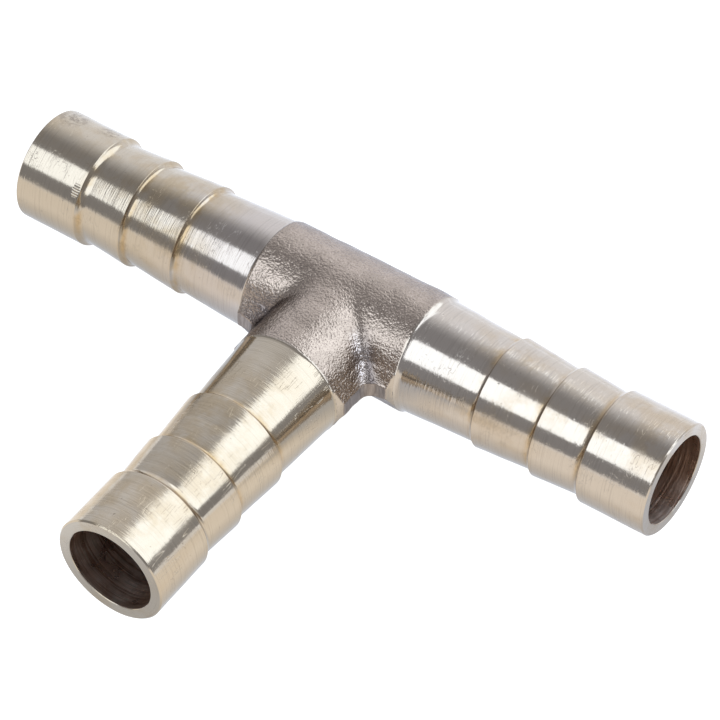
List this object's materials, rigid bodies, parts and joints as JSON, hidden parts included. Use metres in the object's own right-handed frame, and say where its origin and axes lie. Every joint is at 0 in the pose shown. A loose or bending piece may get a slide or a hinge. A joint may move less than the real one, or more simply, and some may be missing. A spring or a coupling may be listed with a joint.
{
  "type": "barbed tee connector",
  "caption": "Brass tee fitting with a forged centre and equal barbed hose tails on the run and the branch, joining hoses of one size.",
  "frame": {"origin": "where the axes of the run bore and the branch bore cross", "axes": "+X along the run, -Y along the branch towards its tip, +Z normal to the plane of the tee"},
  "size_m": [0.0628, 0.0388, 0.0104],
  "materials": {
    "forged_brass": "shot-blasted forged skin, matte and grainy",
    "turned_brass": "bright turned metal with fine lathe rings"
  },
  "bodies": {
    "root": {"tee_body": "forged_brass", "left_run_tail": "turned_brass", "right_run_tail": "turned_brass", "branch_tail": "turned_brass"}
  },
  "joints": []
}
